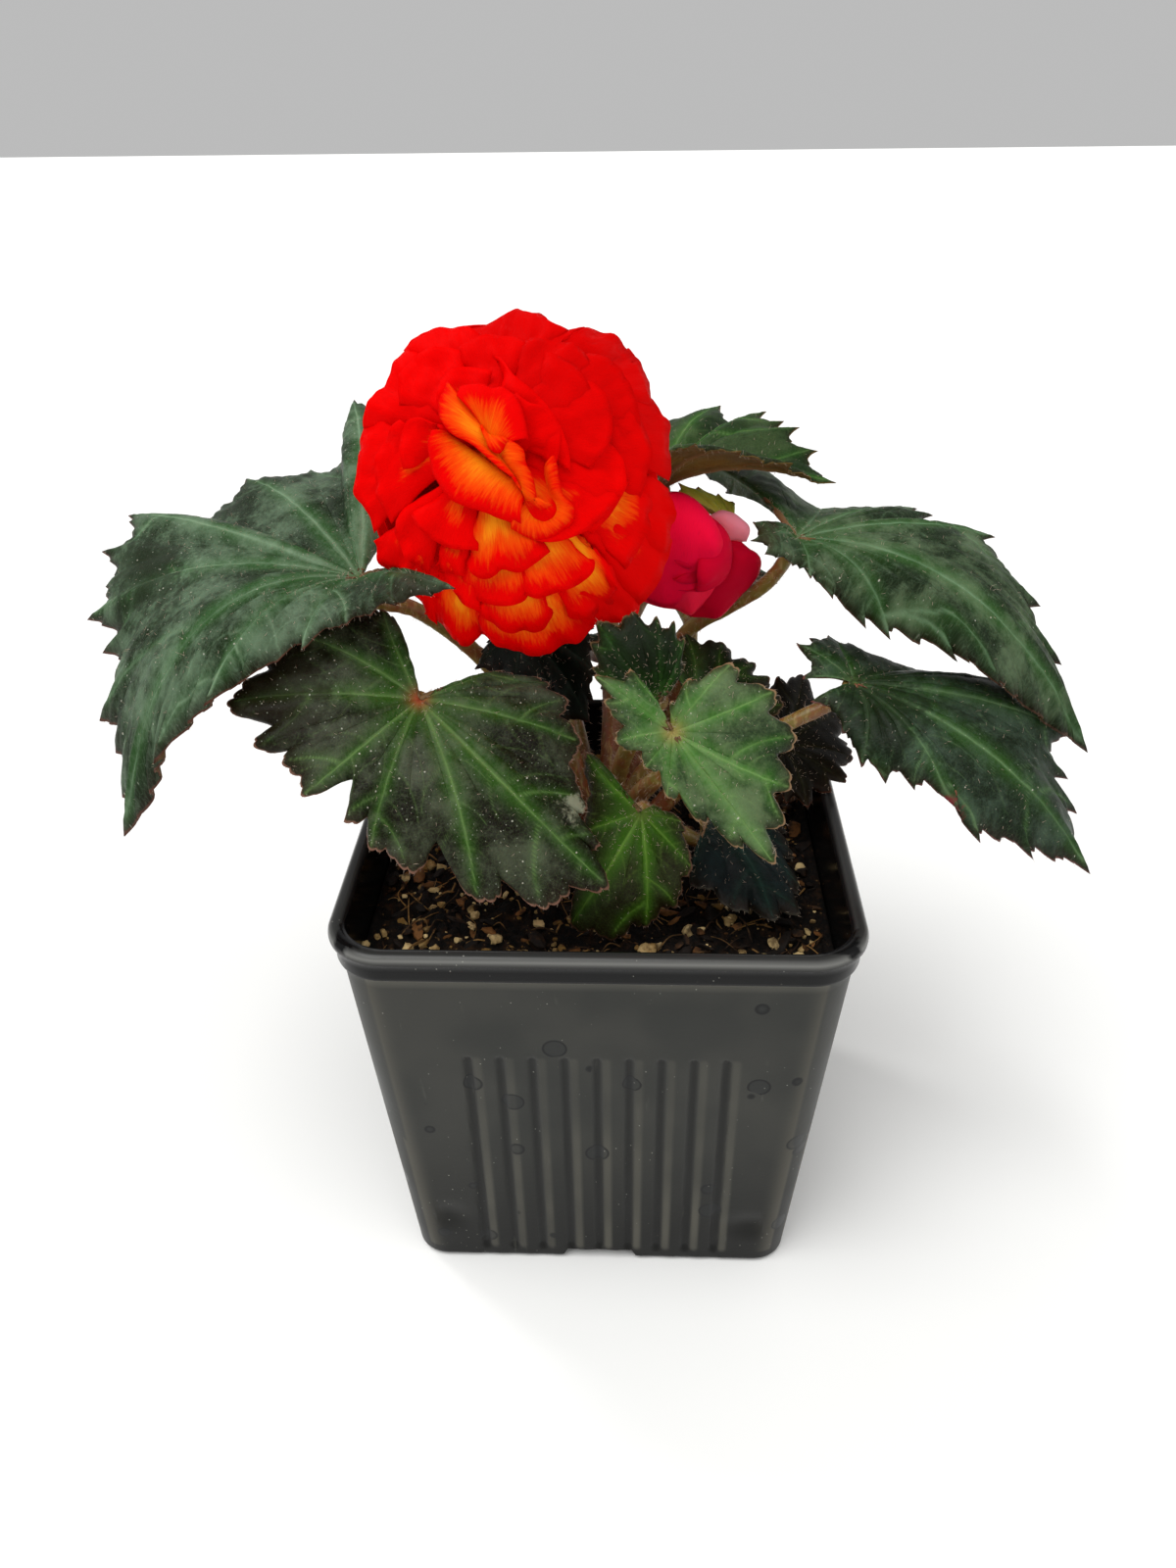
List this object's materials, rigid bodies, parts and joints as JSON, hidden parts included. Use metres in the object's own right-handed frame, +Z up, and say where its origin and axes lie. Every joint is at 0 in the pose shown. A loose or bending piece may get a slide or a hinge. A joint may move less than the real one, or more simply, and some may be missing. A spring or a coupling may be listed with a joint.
{
  "type": "potted begonia",
  "caption": "Begonia in a square black nursery pot: toothed lopsided leaves on fleshy stalks, a large double red-orange bloom and a crimson bud.",
  "frame": {"origin": "middle of the pot's flat underside, on the surface the pot stands on", "axes": "+Z up, -Y towards the side the bloom faces, +X to the right of that side"},
  "size_m": [0.2247, 0.1472, 0.2206],
  "materials": {
    "pot_plastic": "satin black thermoformed",
    "potting_mix": "moist peat and bark with perlite",
    "stalk": "fleshy, hairy, red-brown to olive",
    "leaf": "satin, dark green with pale veins",
    "bract": "satin, yellow-green",
    "petal": "soft satin, red with orange bases",
    "bud_petal": "soft satin, crimson"
  },
  "bodies": {
    "root": {"pot": "pot_plastic", "soil": "potting_mix", "stems": "stalk", "bloom": "petal", "bud": "bud_petal", "bud_bract": "bract", "leaf_left": "leaf", "leaf_front_left": "leaf", "leaf_front_low": "leaf", "leaf_centre": "leaf", "leaf_centre_high": "leaf", "leaf_centre_back": "leaf", "leaf_right_low": "leaf", "leaf_right": "leaf", "leaf_right_high": "leaf", "leaf_top_right": "leaf", "leaf_under_bloom": "leaf", "leaf_low_right": "leaf", "leaf_back_left": "leaf", "leaf_back_right": "leaf", "leaf_back_low": "leaf"}
  },
  "joints": []
}
